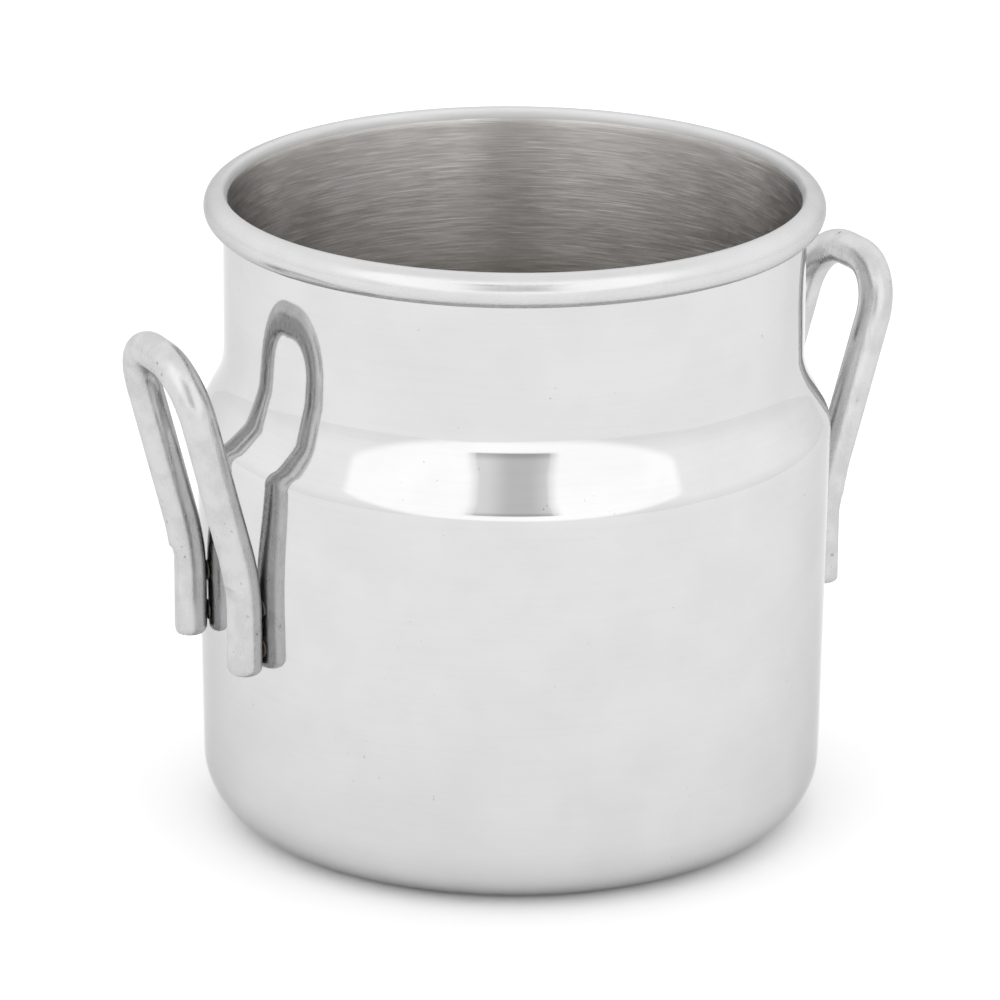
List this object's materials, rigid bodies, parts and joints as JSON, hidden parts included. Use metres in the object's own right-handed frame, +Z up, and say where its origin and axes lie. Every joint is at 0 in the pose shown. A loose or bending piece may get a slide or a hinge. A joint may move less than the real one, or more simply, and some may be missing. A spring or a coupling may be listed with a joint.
{
  "type": "milk pail",
  "caption": "Small round stainless steel milk pail with a shouldered neck, a rolled rim and two fixed bent wire handles, open at the top.",
  "frame": {"origin": "centre of the base's underside, on the pail's axis", "axes": "+Z up the pail's axis towards the mouth; +X towards the right handle, the handles lie along X"},
  "size_m": [0.0786, 0.061, 0.0624],
  "materials": {
    "pail_steel": "mirror polished outside, brushed inside",
    "handle_steel": "polished round wire",
    "weld_steel": "dull spot weld"
  },
  "bodies": {
    "root": {"pail_body": "pail_steel", "left_handle": "handle_steel", "right_handle": "handle_steel", "left_handle_front_lower_weld": "weld_steel", "left_handle_front_upper_weld": "weld_steel", "left_handle_rear_lower_weld": "weld_steel", "left_handle_rear_upper_weld": "weld_steel", "right_handle_front_lower_weld": "weld_steel", "right_handle_front_upper_weld": "weld_steel", "right_handle_rear_lower_weld": "weld_steel", "right_handle_rear_upper_weld": "weld_steel"}
  },
  "joints": []
}
